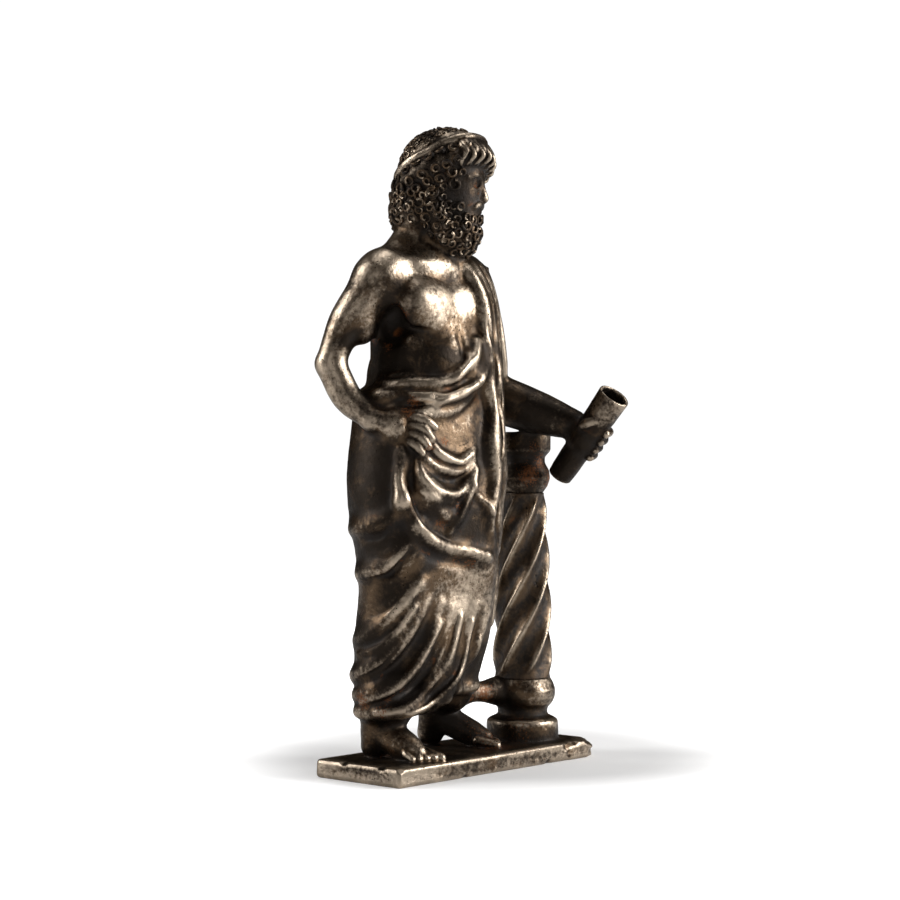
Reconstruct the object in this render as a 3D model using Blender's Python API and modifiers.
# A small cast statuette: a bearded, draped man leaning on a twisted column, on a rectangular plinth.
# Metres, +Z up. He faces -Y and the column is at his left, +X. The origin is the centre of the plinth's underside.
import math

import bmesh
import bpy
import numpy as np
import openvdb
from mathutils import Matrix, Vector

FIGURE_HEIGHT = 0.100
PLINTH_LENGTH = 0.0484
PLINTH_WIDTH = 0.0182
PLINTH_HEIGHT = 0.0030
PLINTH_EDGE = 0.0005
COLUMN_BASE_RADIUS = 0.0060
COLUMN_BASE_HEIGHT = 0.0110
COLUMN_FOOT_RADIUS = 0.0047
COLUMN_NECK_RADIUS = 0.0036
COLUMN_CAPITAL_RADIUS = 0.0047
COLUMN_CAPITAL_HEIGHT = 0.0110
FLUTE_COUNT = 6
FLUTE_DEPTH = 0.0011
FLUTE_TURNS = 0.62
TUBE_DIAMETER = 0.0054
TUBE_FOOT_DIAMETER = 0.0041
TUBE_LENGTH = 0.0180
TUBE_WALL = 0.0005
TUBE_BORE_DEPTH = 0.0050
TUBE_SLIT_WIDTH = 0.0007
TUBE_SLIT_LENGTH = 0.0028

# The pose and the carving are in hundredths of the figure's height, from the middle of the plinth's top.
SHARE = FIGURE_HEIGHT / 100
GRAIN = 0.3
FIGURE_FACES = 6700
COLUMN_CENTRE = (15.6, 0.0)
COLUMN_TOP = 51.4
TUBE_MIDDLE = (16.42, -13.25, 50.9)
TUBE_HEADING = (0.014, -0.650, 0.760)
WAIST = (-9.0, -0.3)
HEAD = (-6.6, -1.8, 91.0)
GAZE = (0.5, -0.866, -0.06)

SILVER = (0.32, 0.28, 0.23, 1.0)


def unit(vector):
    vector = np.asarray(vector, float)
    return vector / np.linalg.norm(vector)


def smooth_path(points, spans):
    """Rows of numbers along a Catmull-Rom curve through the given rows."""
    p = np.asarray(points, float)
    p = np.vstack([2 * p[0] - p[1], p, 2 * p[-1] - p[-2]])
    rows = []
    for a, b, c, d in zip(p, p[1:], p[2:], p[3:]):
        for t in np.arange(spans) / spans:
            bend = (2 * a - 5 * b + 4 * c - d) * t * t + (3 * b - a - 3 * c + d) * t ** 3
            rows.append(0.5 * (2 * b + (c - a) * t + bend))
    rows.append(p[-2])
    return np.array(rows)


class Clay:
    """A block of space that holds the distance to the modelled surface, negative inside it."""

    def __init__(self, low, high, grain):
        self.low = np.array(low, float)
        self.grain = grain
        self.count = np.ceil((np.array(high, float) - self.low) / grain).astype(int) + 1
        self.axes = [self.low[i] + grain * np.arange(self.count[i]) for i in range(3)]
        self.field = np.full(self.count, 6.0, np.float32)

    def window(self, low, high, margin):
        margin = margin + 2.5 * self.grain + 0.4
        first = np.floor((np.array(low) - margin - self.low) / self.grain).astype(int)
        last = np.ceil((np.array(high) + margin - self.low) / self.grain).astype(int) + 1
        first = np.clip(first, 0, self.count)
        last = np.clip(last, 0, self.count)
        return tuple(slice(i, j) for i, j in zip(first, last))

    def places(self, where):
        x, y, z = (axis[part] for axis, part in zip(self.axes, where))
        return x[:, None, None], y[None, :, None], z[None, None, :]

    def work(self, where, distance, blend, carve):
        """Joins a form to the clay, or carves it out, with a soft seam as wide as blend."""
        old = self.field[where]
        if carve:
            soft = np.maximum(blend - np.abs(old + distance), 0) / blend
            self.field[where] = np.maximum(old, -distance) + soft * soft * blend * 0.25
        else:
            soft = np.maximum(blend - np.abs(old - distance), 0) / blend
            self.field[where] = np.minimum(old, distance) - soft * soft * blend * 0.25

    def ball(self, centre, radii, blend, turn=None, carve=False):
        """An ellipsoid; turn is a matrix whose columns are its own axes."""
        turn = np.eye(3) if turn is None else turn
        reach = np.abs(turn) @ np.array(radii, float)
        centre = np.array(centre, float)
        where = self.window(centre - reach, centre + reach, blend)
        offset = [a - b for a, b in zip(self.places(where), centre)]
        own = [sum(turn[j, i] * offset[j] for j in range(3)) / radii[i] for i in range(3)]
        near = np.sqrt(sum(a * a for a in own))
        slope = np.sqrt(sum((a / r) ** 2 for a, r in zip(own, radii)))
        self.work(where, near * (near - 1) / np.maximum(slope, 1e-6), blend, carve)

    def rope(self, points, radii, blend, spans=6, carve=False):
        """A round-ended rope along a smooth path, its radius changing from point to point."""
        points = np.asarray(points, float)
        radii = np.broadcast_to(np.asarray(radii, float), (len(points),))
        path = smooth_path(np.column_stack([points, radii]), spans)
        path[:, 3] = np.maximum(path[:, 3], 0.02)
        reach = path[:, 3].max()
        whole = self.window(path[:, :3].min(0) - reach, path[:, :3].max(0) + reach, blend)
        made = np.full([part.stop - part.start for part in whole], 6.0)
        for a, b in zip(path, path[1:]):
            reach = max(a[3], b[3])
            where = self.window(np.minimum(a, b)[:3] - reach, np.maximum(a, b)[:3] + reach, blend)
            offset = [p - q for p, q in zip(self.places(where), a)]
            run = b[:3] - a[:3]
            along = sum(p * r for p, r in zip(offset, run)) / max(run @ run, 1e-9)
            along = np.clip(along, 0, 1)
            gap = np.sqrt(sum((p - along * r) ** 2 for p, r in zip(offset, run)))
            local = tuple(slice(w.start - o.start, w.stop - o.start) for w, o in zip(where, whole))
            made[local] = np.minimum(made[local], gap - a[3] - (b[3] - a[3]) * along)
        self.work(whole, made, blend, carve)

    def read(self, points):
        """The distance at each point, between the grid's own values."""
        p = (np.atleast_2d(points) - self.low) / self.grain
        cell = np.clip(np.floor(p).astype(int), 0, self.count - 2)
        part = p - cell
        total = np.zeros(len(p))
        for corner in np.ndindex(2, 2, 2):
            weight = np.prod(np.where(corner, part, 1 - part), axis=1)
            at = cell + corner
            total += weight * self.field[at[:, 0], at[:, 1], at[:, 2]]
        return total

    def skin(self, start, heading, reach=20.0):
        """The last place where a straight line from inside leaves the clay."""
        steps = np.arange(0, reach, self.grain * 0.5)
        depth = self.read(np.asarray(start, float) + steps[:, None] * heading)
        inside = np.nonzero(depth < 0)[0]
        if not len(inside):
            return np.asarray(start, float)
        k = min(inside[-1], len(steps) - 2)
        share = depth[k] / min(depth[k] - depth[k + 1], -1e-6)
        return np.asarray(start, float) + (steps[k] + share * self.grain * 0.5) * np.asarray(heading)

    def fold(self, marks, radii, blend=0.6, out=0.0, carve=False):
        """A ridge or a crease of cloth through marks, each a bearing from the front and a height.

        Bearings turn about the waist, positive towards the figure's left. The marks are put on the clay's surface,
        so a fold follows whatever body is under it.
        """
        radii = np.broadcast_to(np.asarray(radii, float), (len(marks),))
        rows = smooth_path(np.column_stack([np.asarray(marks, float), radii]), 4)
        points = []
        for bearing, height, _ in rows:
            turn = math.radians(bearing)
            heading = np.array((math.sin(turn), -math.cos(turn), 0.0))
            points.append(self.skin((*WAIST, height), heading) + heading * out)
        self.rope(points, rows[:, 2], blend, 2, carve)


def facing(forward):
    """A matrix whose columns are the side, the front and the top of a head."""
    front = unit(forward)
    side = unit(np.cross(front, (0, 0, 1)))
    return np.column_stack([side, front, np.cross(side, front)])


def torso(clay):
    clay.ball((-8.8, 0.1, 52.5), (10.4, 8.2, 9.5), 2)
    clay.ball((-8.5, 0.0, 60.5), (9.7, 8.0, 8.6), 3)
    clay.ball((-8.2, 0.5, 68.5), (10.2, 7.3, 9.5), 3)
    clay.rope([(-17.2, 1.2, 75.2), (-8.2, 1.3, 76.4), (1.0, 1.2, 75.4)], [3.8, 4.3, 3.8], 3)
    for side in (-1, 1):
        clay.ball((-8.5 + side * 4.5, -3.4, 71.0), (5.4, 3.4, 4.5), 1.6)
        collar = [(1.6, -4.2, 77.2), (5.5, -3.6, 77.9), (9.0, -1.6, 78.4)]
        clay.rope([(-8.4 + side * x, y, z) for x, y, z in collar], [0.7, 0.7, 0.5], 1.4)
    clay.ball((-8.6, -4.6, 61.5), (5.8, 3.7, 5.6), 2)
    clay.rope([(-8.5, -8.2, 73.6), (-8.5, -8.2, 69.5), (-8.5, -8.4, 66)], [0.5, 0.6, 0.5], 1.2, carve=True)
    clay.rope([(-16.2, -3.4, 66.9), (-13.0, -7.0, 66.4), (-9.4, -7.9, 67.4)], [0.3, 0.5, 0.2], 1.0, carve=True)
    clay.rope([(-16.0, 1.6, 77.9), (-12.6, 1.9, 79.9), (-8.6, 1.6, 84)], [2.4, 2.6, 2.7], 2)
    clay.ball((-8.6, -1.2, 77.2), (6.5, 3.6, 3.2), 1.5)
    clay.rope([(-1.7, 1.6, 77.8), (-5.8, 1.9, 80.0), (-7.8, 2.0, 84)], [2.3, 2.8, 3.0], 2)
    clay.rope([(-8.4, 0.8, 77), (-7.4, -0.2, 86)], [4.4, 4.1], 2)


def legs(clay):
    clay.rope([(-13.4, 0.3, 52), (-14.6, -0.3, 42), (-15.3, -0.6, 28), (-15.9, 0.8, 17), (-16.4, 1.2, 8.2)],
              [8.2, 8.5, 6.4, 5.7, 4.4], 2, 8)
    clay.rope([(-5.4, -0.2, 52), (-4.8, -1.8, 42), (-3.9, -4.4, 30), (-3.0, -3.0, 21), (-2.5, -1.2, 15),
               (-2.2, 0.8, 9.6)], [8.0, 7.6, 5.0, 4.7, 4.3, 3.9], 2, 8)
    clay.rope([(-9.5, -0.6, 50), (-9.5, -1.4, 34), (-9.6, -1.2, 22), (-9.6, -0.6, 14), (-9.4, 0.4, 10.6)],
              [7.4, 6.6, 5.8, 5.2, 4.4], 3, 8)
    clay.rope([(-3.4, -0.8, 27), (-2.1, 2.0, 18), (-1.1, 4.0, 9.8)], [5.0, 4.6, 3.9], 2, 8)
    clay.ball((-3.7, -5.6, 30.5), (3.5, 3.4, 4.4), 1.6)


def arms(clay):
    clay.ball((-18.0, 1.0, 75.0), (4.3, 4.1, 4.5), 2)
    clay.ball((-20.4, 2.6, 68.0), (2.4, 2.4, 3.2), 1.0)
    clay.rope([(-18.6, 1.4, 74.4), (-22.0, 3.7, 68.8), (-23.8, 4.6, 65.0), (-24.7, 5.2, 61.8)],
              [3.7, 3.1, 2.5, 2.4], 1.2)
    clay.rope([(-24.7, 5.2, 61.8), (-23.6, 2.6, 56.5), (-22.1, -1.2, 53.1)], [2.45, 2.35, 1.75], 0.5)
    clay.ball((1.4, 0.9, 75.4), (4.2, 4.1, 4.6), 2)
    clay.rope([(1.8, 1.0, 75), (5.2, 2.2, 67), (8.8, 2.4, 58.5)], [4.0, 3.8, 3.9], 1.5)
    clay.rope([(8.8, 2.4, 57.6), (12.8, -4.8, 54.8), (16.0, -10.6, 52.6)], [4.2, 3.6, 2.5], 1.0)


def right_hand(clay):
    clay.ball((-19.7, -4.0, 51.7), (2.2, 2.4, 2.9), 0.8)
    clay.rope([(-22.1, -1.2, 53.1), (-20.2, -3.8, 52.3)], [1.75, 1.9], 0.8, 2)
    fingers = [[(-18.6, -5.7, 53.9), (-16.6, -8.3, 53.3), (-14.8, -9.1, 52.4)],
               [(-18.7, -6.1, 52.4), (-16.9, -8.7, 51.4), (-15.3, -9.2, 50.1)],
               [(-18.9, -6.2, 50.9), (-17.4, -8.5, 49.7), (-16.2, -9.0, 48.5)],
               [(-19.3, -6.0, 49.6), (-18.1, -7.9, 48.3), (-17.3, -8.4, 47.3)]]
    for finger in fingers:
        clay.rope(finger, [0.85, 0.76, 0.62], 0.15, 3)


def left_hand(clay):
    middle = np.array(TUBE_MIDDLE)
    heading = unit(TUBE_HEADING)
    clay.ball(middle + (-0.1, 0.9, -0.4), (2.8, 2.9, 3.0), 0.8)
    for i in range(4):
        place = middle + heading * (0.9 - 1.65 * i)
        clay.rope([place + (2.2, 1.2, 0.2), place + (2.7, -1.6, -0.1), place + (0.2, -2.9, -0.6)],
                  [0.8, 0.84, 0.76], 0.1, 4)
    thumb = middle + heading * 2.0
    clay.rope([thumb + (-1.6, 1.6, -0.6), thumb + (-2.6, -0.6, 0.4), thumb + (-1.4, -2.4, 0.8)],
              [0.8, 0.8, 0.65], 0.3, 3)


def feet(clay):
    clay.rope([(-16.9, 2.4, 9), (-16.9, 2.6, 5.5), (-16.9, 3.0, 1.9)], [2.7, 2.5, 2.3], 1)
    clay.rope([(-16.9, 2.2, 4.4), (-16.3, -2.5, 2.3), (-16.0, -5.2, 1.2)], [2.6, 2.4, 1.5], 1)
    clay.rope([(-0.8, 4.6, 13), (-0.3, 5.6, 6.5), (-0.3, 6.4, 2.0)], [2.5, 2.3, 2.2], 1)
    clay.rope([(-0.2, 5.4, 5.2), (2.2, 0.8, 2.6), (3.6, -1.6, 1.4)], [2.4, 2.2, 1.6], 1)
    for i in range(5):
        across = (i - 2) * 1.1
        fat = [0.85 - 0.06 * i, 0.78 - 0.07 * i]
        clay.rope([(-16.0 - across, -4.6, 1.2), (-15.8 - across * 1.15, -8.3 + 0.35 * i, 0.6)], fat, 0.1, 2)
        tip = (4.9 + across * 1.1, -4.6 + across * 0.55 + 0.3 * i, 0.6)
        clay.rope([(3.4 + across, -1.4 + across * 0.5, 1.2), tip], fat, 0.1, 2)


def head(clay):
    turn = facing(GAZE)

    def at(side, front, up):
        return np.array(HEAD) + turn @ np.array((side, front, up))

    def ring(across, depth, rise, height, back, lean):
        angles = np.linspace(0, 2 * math.pi, 33)
        return [at(across * math.sin(a), depth * math.cos(a) - back,
                   height + rise * math.cos(a) + lean * math.sin(a)) for a in angles]

    clay.ball(at(0, -0.2, 1.2), (6.0, 6.9, 7.2), 1.5, turn)
    clay.ball(at(0, 1.6, -3.6), (4.7, 4.9, 5.6), 1.5, turn)
    clay.ball(at(0, 2.0, 4.5), (5.5, 5.0, 4.0), 1.0, turn)
    clay.rope(ring(5.6, 6.5, 3.3, 0.9, 0.1, 1.6), 1.4, 0.8, 1)
    clay.ball(at(0, -5.1, -4.8), (4.9, 2.7, 3.4), 1.0, turn)
    for side in (-1, 1):
        clay.ball(at(side * 3.9, -2.8, -4.0), (2.3, 3.4, 3.8), 1.2, turn)
    middle = at(0, 0, 0)
    band = [clay.skin(middle, unit(place - middle)) for place in ring(6.15, 6.7, 3.7, 3.5, 0.5, 1.9)]
    clay.rope(band, 0.8, 0.3, 1)
    clay.ball(at(0, 2.6, -7.2), (4.4, 4.0, 4.4), 1.2, turn)
    beard = [at(-4.4, -0.2, -1), at(-4.2, 0.0, -5.0), at(-2.8, 1.2, -8.4), at(0, 3.2, -9.2), at(2.8, 1.2, -8.4),
             at(4.2, 0.0, -5.0), at(4.4, -0.2, -1)]
    clay.rope(beard, [1.2, 2.0, 2.2, 2.4, 2.2, 2.0, 1.2], 0.8)
    curls(clay, at)
    clay.rope([at(0, 6.0, 1.0), at(0, 6.6, -1.0), at(0, 6.9, -2.2)], [0.6, 0.75, 0.95], 0.5)
    for side in (-1, 1):
        clay.rope([at(side * 0.6, 6.2, 1.2), at(side * 2.2, 5.8, 1.3), at(side * 3.6, 4.8, 0.7)], 0.55, 0.5)
        clay.ball(at(side * 1.9, 5.9, 0.0), (1.1, 0.8, 0.75), 0.5, turn, True)
        clay.ball(at(side * 1.9, 5.2, -0.1), (0.95, 0.8, 0.62), 0.2, turn)


def curls(clay, at):
    """Rows of round curls along the roll of hair, over the nape and down the beard."""
    for row in range(2):
        for k in range(18):
            a = 2 * math.pi * (k + 0.5 * row) / 18
            across, depth = 6.4 - 0.4 * row, 7.2 - 0.5 * row
            height = 1.2 - 1.9 * row + 3.3 * math.cos(a) + 1.6 * math.sin(a)
            place = at(across * math.sin(a), depth * math.cos(a) - 0.1, height)
            clay.ball(place, (1.15, 1.15, 1.15), 0.15)
    for row in range(3):
        for k in range(6 - row):
            a = math.pi + (k - (5 - row) / 2) * 0.3
            place = at(6.0 * math.sin(a), 6.9 * math.cos(a), -3.2 - 1.7 * row)
            clay.ball(place, (1.15, 1.15, 1.15), 0.15)
    for row in range(4):
        for k in range(8 - row):
            a = (k - (7 - row) / 2) * 0.36
            out = 6.2 - 0.22 * row * row
            place = at(5.0 * math.sin(a), 0.8 + out * math.cos(a), -4.9 - 2.0 * row + 0.9 * abs(a))
            clay.ball(place, (1.15, 1.15, 1.15), 0.1)


def waist_roll(clay):
    """The bunched top of the cloak, from the right hip up to the left side and round the back."""
    top = [(-205, 62), (-178, 59.5), (-150, 57.5), (-120, 56), (-92, 56.5), (-70, 57.0), (-45, 56.8), (-20, 56.8),
           (5, 59.0), (25, 62.0), (44, 66)]
    clay.fold(top, [1.0, 1.6, 1.7, 1.8, 1.7, 1.9, 2.1, 2.1, 2.1, 1.9, 1.4], 0.9, -0.6)
    clay.fold([(-85, 59.6), (-70, 59.9), (-52, 59.2), (-30, 59.2), (3, 61.4), (30, 65.6)],
              [0.6, 0.8, 0.9, 1.0, 1.0, 0.8])
    clay.fold([(-74, 54.6), (-58, 56.4), (-42, 56.6), (-23, 56.4), (9, 58.6), (36, 62.5)],
              [0.5, 0.8, 0.9, 0.9, 0.9, 0.7])
    clay.fold([(-80, 53.4), (-62, 53.6), (-46, 54.0), (-13, 54.8), (22, 57.6)], [0.5, 0.7, 0.8, 0.8, 0.6])
    clay.fold([(-80, 57.6), (-62, 58.0), (-45, 57.8), (-25, 57.6), (8, 60.0)], 0.4, 0.4, 0.3, True)
    clay.fold([(-78, 55.4), (-55, 55.2), (-38, 55.2), (-15, 55.6), (15, 58.0)], 0.35, 0.4, 0.3, True)


def overfold(clay):
    """The free edge of the cloak across the thighs, with its hem and hanging folds."""
    edge = [(-64, 49.0), (-66, 43.8), (-60, 39.2), (-49, 35.8), (-36, 33.8), (-14, 33.0), (10, 32.4), (26, 31.6)]
    clay.fold(edge, [0.8, 1.1, 1.2, 1.2, 1.1, 1.0, 1.0, 0.9], 0.6, 0.15)
    clay.fold([(b - 4, z - 2.0) for b, z in edge[:-1]], 0.6, 0.6, 0.35, True)
    clay.fold([(-57, 47.6), (-54, 42.3), (-47, 38.6), (-35, 36.4), (-22, 35.4)], 0.4, 0.5, 0.3, True)
    swags = [[(-48, 50.2), (-35, 47.2), (-12, 46.3), (12, 48.4)],
             [(-52, 48.0), (-45, 43.6), (-30, 41.4), (-6, 42.2), (12, 45.4)],
             [(-52, 44.6), (-46, 40.8), (-36, 38.7), (-19, 38.4), (-2, 40.6)]]
    for line in swags:
        clay.fold(line, [0.5] + [1.1] * (len(line) - 2) + [0.5], 0.4, 0.2)
        below = [(b * 0.9, z - 1.9) for b, z in line[1:-1]]
        if len(below) > 2:
            clay.fold(below, 0.6, 0.4, 0.4, True)
    clay.fold([(6, 43.6), (-4, 40.0), (-14, 37.0), (-22, 35.4)], [0.5, 0.7, 0.7, 0.5], 0.5, 0.1)


def skirt(clay):
    """Long folds that fan from the bent left knee to the right ankle, and the hem above the feet."""
    fan = [[(-45, 25.5), (-62, 20.4), (-82, 15.8), (-105, 13.4), (-130, 12.5)],
           [(-28, 24.5), (-45, 18.4), (-68, 13.2), (-98, 10.4), (-130, 9.5)],
           [(-10, 24.0), (-23, 17.4), (-45, 12.0), (-72, 8.8), (-105, 7.8)],
           [(8, 24.0), (-2, 16.4), (-20, 11.2), (-46, 8.6), (-75, 7.4)],
           [(24, 24.0), (18, 16.4), (4, 11.8), (-16, 9.6)],
           [(38, 22.5), (36, 16.5), (28, 12.4)]]
    for line in fan:
        clay.fold(line, [0.2, 0.9] + [1.1] * (len(line) - 3) + [0.7], 0.4, 0.15)
        valley = [(b + 6, max(z - 1.8, 7.0)) for b, z in line]
        clay.fold(valley, [0.1] + [0.6] * (len(line) - 1), 0.4, 0.35, True)
    for line in ([(-58, 39.4), (-70, 36.0), (-90, 34.6), (-115, 34.4)],
                 [(-50, 35.0), (-62, 31.0), (-75, 28.6), (-92, 27.6), (-112, 27.4)],
                 [(-50, 26.2), (-65, 22.4), (-80, 19.0), (-107, 17.0)]):
        fat = [0.3] + [0.65] * (len(line) - 2) + [0.2]
        clay.fold([(b - 3, z + 1.6) for b, z in line], [1.5 * r for r in fat], 0.8, -0.1)
        clay.fold(line, fat, 0.4, 0.2, True)
    hem = [(-180, 7.2), (-150, 6.6), (-120, 6.0), (-95, 5.8), (-72, 6.2), (-50, 6.8), (-25, 7.4), (0, 8.0),
           (25, 8.6), (50, 8.8), (80, 8.8), (120, 8.4), (150, 7.8), (180, 7.2)]
    clay.fold([(b, z + 1.6) for b, z in hem], 1.1, 0.8, -0.3)


def back_drape(clay):
    """Plain diagonal folds over the back, from the left shoulder to the right hip."""
    clay.rope([(1.5, 5.4, 78), (-3.5, 7.6, 72), (-9.0, 7.8, 66), (-13.4, 6.2, 61), (-16.6, 3.0, 57.6)],
              [1.2, 1.6, 1.6, 1.4, 1.1], 1.2)
    for i in range(4):
        low = 60 - 9 * i
        line = [(115 + 4 * i, low + 8), (140, low + 3.5), (165, low - 0.5), (190, low - 3), (215, low - 3.5)]
        clay.fold(line, [0.3, 0.9, 1.0, 0.9, 0.3], 0.8, 0.0)
    for i in range(5):
        start = 118 + 22 * i
        clay.fold([(start, 24), (start + 4, 18), (start + 6, 12)], [0.3, 0.8, 0.7], 0.7, 0.0)


def shoulder_fall(clay):
    """Pleats that hang from the left shoulder down the front, and the cloth over the left upper arm."""
    runs = [[(-4.6, 0.4, 80.4), (-3.8, -4.2, 77.4), (-2.6, -6.6, 72.4), (-2.2, -7.2, 66), (-2.4, -7.8, 60),
             (-2.4, -8.4, 54), (-3.0, -9.2, 48), (-3.6, -9.4, 42), (-3.8, -8.8, 36)],
            [(-2.8, 0.6, 80.6), (-1.7, -3.8, 77.6), (-0.2, -5.8, 72.2), (0.4, -6.3, 66), (0.2, -6.9, 60),
             (-0.2, -7.6, 54), (-1.0, -8.4, 48), (-1.4, -8.6, 42), (-1.2, -8.2, 35)],
            [(-1.0, 0.8, 80.4), (0.6, -3.0, 77.8), (2.2, -4.6, 72), (2.8, -4.8, 66), (2.4, -5.6, 60),
             (1.6, -6.4, 54), (0.6, -7.0, 48), (0.4, -7.0, 42), (0.8, -6.4, 35)]]
    for run in runs:
        clay.rope(run, [1.0, 1.15, 1.2, 1.2, 1.3, 1.35, 1.3, 1.3, 0.8], 0.25)
    clay.rope([(0.8, 1.0, 80.2), (3.4, -1.8, 77.0), (5.4, -2.6, 71), (7.6, -2.2, 64), (9.2, -1.2, 58.5)],
              [1.0, 1.1, 1.0, 1.0, 0.8], 0.6)
    clay.rope([(2.6, 1.6, 79.6), (5.2, 0.2, 75.6), (7.4, 0.2, 69), (10.0, 1.0, 62), (11.4, 1.4, 58.4)],
              [0.9, 1.0, 0.9, 0.9, 0.7], 0.6)
    clay.rope([(7.0, 1.2, 58), (4.8, -0.4, 50), (3.6, -1.4, 38), (2.6, -2.6, 27), (3.2, -3.0, 22)],
              [2.2, 2.4, 2.3, 1.5, 0.9], 0.6)
    clay.rope([(5.6, 3.4, 57), (3.4, 3.0, 48), (2.2, 3.0, 38), (1.0, 2.6, 28), (0.4, 2.4, 20)],
              [2.0, 2.2, 2.2, 1.6, 0.9], 0.6)


def bridge(clay):
    """The web of metal between the hem and the column's foot."""
    clay.rope([(0.5, 3.4, 8.8), (6.4, 2.2, 8.4), (12.5, 1.2, 8.2)], [3.2, 1.7, 2.8], 0.8)


def figure_clay(grain):
    clay = Clay((-30, -20, -3.6), (24, 12, 102), grain)
    torso(clay)
    legs(clay)
    back_drape(clay)
    waist_roll(clay)
    overfold(clay)
    skirt(clay)
    arms(clay)
    shoulder_fall(clay)
    right_hand(clay)
    left_hand(clay)
    head(clay)
    feet(clay)
    bridge(clay)
    return clay


def clay_mesh(clay, name):
    """The clay's surface as a closed mesh in metres, standing on the plinth."""
    band = 3 * clay.grain
    field = np.clip(clay.field, -band, band)
    for axis in range(3):
        field = 0.25 * (np.roll(field, 1, axis) + 2 * field + np.roll(field, -1, axis))
    grid = openvdb.FloatGrid(band)
    grid.copyFromArray(field.astype(np.float32), tolerance=0)
    points, quads = grid.convertToQuads(0.0)
    points = (np.asarray(points) * clay.grain + clay.low) * SHARE + (0, 0, PLINTH_HEIGHT)
    mesh = bpy.data.meshes.new(name)
    mesh.from_pydata(points.tolist(), [], np.asarray(quads)[:, ::-1].tolist())
    return mesh


def add_object(name, mesh, collection):
    thing = bpy.data.objects.new(name, mesh)
    collection.objects.link(thing)
    return thing


def box_mesh(name, size):
    shape = bmesh.new()
    bmesh.ops.create_cube(shape, size=1.0)
    bmesh.ops.scale(shape, verts=shape.verts, vec=size)
    mesh = bpy.data.meshes.new(name)
    shape.to_mesh(mesh)
    shape.free()
    return mesh


def boolean(target, cutter, operation):
    step = target.modifiers.new(cutter.name, "BOOLEAN")
    step.operation = operation
    step.solver = "EXACT"
    step.object = cutter
    cutter.hide_render = True
    cutter.display_type = "WIRE"


def column_profile():
    """Heights above the plinth's top and radii, from the foot to the top slab."""
    top = COLUMN_TOP * SHARE
    base, cap = COLUMN_BASE_HEIGHT, COLUMN_CAPITAL_HEIGHT
    wide, foot = COLUMN_BASE_RADIUS, COLUMN_FOOT_RADIUS
    neck, slab = COLUMN_NECK_RADIUS, COLUMN_CAPITAL_RADIUS
    rows = [(-0.5 * PLINTH_HEIGHT, wide), (0.27 * base, wide), (0.31 * base, 0.97 * wide), (0.38 * base, 0.70 * wide),
            (0.48 * base, 0.70 * wide), (0.56 * base, 0.84 * wide), (0.65 * base, 0.91 * wide),
            (0.76 * base, 0.92 * wide), (0.86 * base, 0.86 * wide), (0.93 * base, foot * 1.04), (base, foot)]
    shaft = np.linspace(base, top - cap, 15)[1:-1]
    rows += [(z, foot + (neck - foot) * (z - base) / (top - cap - base)) for z in shaft]
    rows += [(top - cap, 0.93 * neck), (top - 0.94 * cap, 0.70 * slab), (top - 0.82 * cap, 0.90 * slab),
             (top - 0.70 * cap, 0.99 * slab), (top - 0.58 * cap, 0.95 * slab), (top - 0.47 * cap, 0.80 * slab),
             (top - 0.38 * cap, 0.80 * slab), (top - 0.28 * cap, 1.0 * slab), (top, 1.01 * slab)]
    return rows


def column_mesh(name, sides):
    """A turned column whose shaft has broad twisted flutes with sharp ridges."""
    base = COLUMN_BASE_HEIGHT
    length = COLUMN_TOP * SHARE - COLUMN_CAPITAL_HEIGHT - base
    centre = np.array((*COLUMN_CENTRE, 0.0)) * SHARE + (0, 0, PLINTH_HEIGHT)
    points = []
    for height, radius in column_profile():
        part = (height - base) / length
        strength = min(max(min(part, 1 - part) * 12, 0), 1)
        for k in range(sides):
            angle = 2 * math.pi * k / sides
            wave = abs(math.sin(FLUTE_COUNT / 2 * (angle - 2 * math.pi * FLUTE_TURNS * part) + 0.9))
            r = radius - strength * FLUTE_DEPTH * (wave - 0.3)
            points.append(centre + (r * math.cos(angle), r * math.sin(angle), height))
    rings = len(points) // sides
    faces = [tuple(range(sides))[::-1], tuple(range((rings - 1) * sides, rings * sides))]
    for ring in range(rings - 1):
        for k in range(sides):
            a, b = ring * sides + k, ring * sides + (k + 1) % sides
            faces.append((a, b, b + sides, a + sides))
    mesh = bpy.data.meshes.new(name)
    mesh.from_pydata([tuple(p) for p in points], [], faces)
    return mesh


def tube_matrix():
    heading = Vector(TUBE_HEADING).normalized()
    middle = Vector(TUBE_MIDDLE) * SHARE + Vector((0, 0, PLINTH_HEIGHT))
    return Matrix.Translation(middle) @ heading.to_track_quat("Z", "Y").to_matrix().to_4x4()


def turned_object(name, profile, sides, collection):
    """A body of revolution about Z from (radius, height) rows that run down its outer side."""
    mesh = bpy.data.meshes.new(name)
    points = [(radius, 0, height) for radius, height in profile]
    mesh.from_pydata(points, [(i, i + 1) for i in range(len(points) - 1)], [])
    thing = add_object(name, mesh, collection)
    screw = thing.modifiers.new("turn", "SCREW")
    screw.steps = sides
    screw.render_steps = sides
    screw.use_merge_vertices = True
    screw.merge_threshold = 0.00001
    return thing


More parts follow.
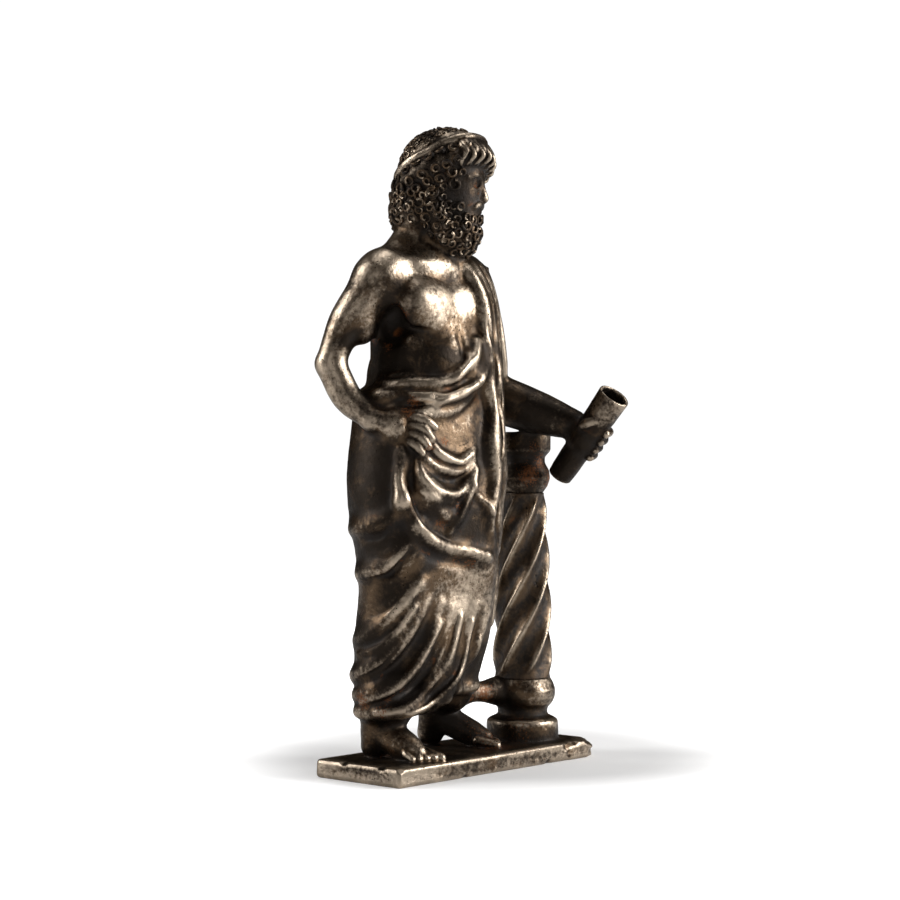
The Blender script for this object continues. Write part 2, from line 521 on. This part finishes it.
def place_tube(statue, cutters):
    """The hollow roll in the left hand: a tapered tube with a rounded foot, a bore and a short slit."""
    above = TUBE_LENGTH * 0.47
    rim, round_end = TUBE_DIAMETER / 2, TUBE_FOOT_DIAMETER / 2
    below = TUBE_LENGTH - above - round_end
    turn = tube_matrix()
    inner = rim - TUBE_WALL
    profile = [(0, above - TUBE_BORE_DEPTH), (inner * 0.9, above - TUBE_BORE_DEPTH), (inner, above), (rim, above)]
    for angle in np.linspace(0, math.pi / 2, 6)[:-1]:
        profile.append((round_end * math.cos(angle), -below - round_end * math.sin(angle)))
    profile.append((0, -below - round_end))
    body = turned_object("roll_body", profile, 24, cutters)
    body.matrix_world = turn
    slit_size = (TUBE_SLIT_WIDTH, TUBE_DIAMETER, TUBE_SLIT_LENGTH * 2)
    slit = add_object("roll_slit", box_mesh("roll_slit", slit_size), cutters)
    slit.matrix_world = turn @ Matrix.Rotation(2.2, 4, "Z") @ Matrix.Translation((0, TUBE_DIAMETER / 2, above))
    boolean(statue, body, "UNION")
    boolean(statue, slit, "DIFFERENCE")


def silver():
    material = bpy.data.materials.new("patinated_silver")
    material.use_nodes = True
    surface = material.node_tree.nodes["Principled BSDF"]
    surface.inputs["Base Color"].default_value = SILVER
    surface.inputs["Roughness"].default_value = 0.38
    surface.inputs["Metallic"].default_value = 0.9
    return material


def build():
    for thing in list(bpy.data.objects):
        bpy.data.objects.remove(thing)
    statue_home = bpy.data.collections.new("zeus_statuette")
    cutters = bpy.data.collections.new("zeus_statuette_forms")
    for home in (statue_home, cutters):
        bpy.context.scene.collection.children.link(home)

    statue = add_object("zeus_statuette", clay_mesh(figure_clay(GRAIN), "zeus_statuette"), statue_home)
    thin = statue.modifiers.new("thin", "DECIMATE")
    thin.ratio = FIGURE_FACES / (2 * len(statue.data.polygons))
    thin.use_collapse_triangulate = True

    column = add_object("column", column_mesh("column", 36), cutters)
    boolean(statue, column, "UNION")
    plinth = add_object("plinth", box_mesh("plinth", (PLINTH_LENGTH, PLINTH_WIDTH, PLINTH_HEIGHT)), cutters)
    plinth.location = (0, 0, PLINTH_HEIGHT / 2)
    edge = plinth.modifiers.new("edge", "BEVEL")
    edge.width = PLINTH_EDGE
    edge.segments = 2
    boolean(statue, plinth, "UNION")
    place_tube(statue, cutters)
    statue.data.materials.append(silver())


build()
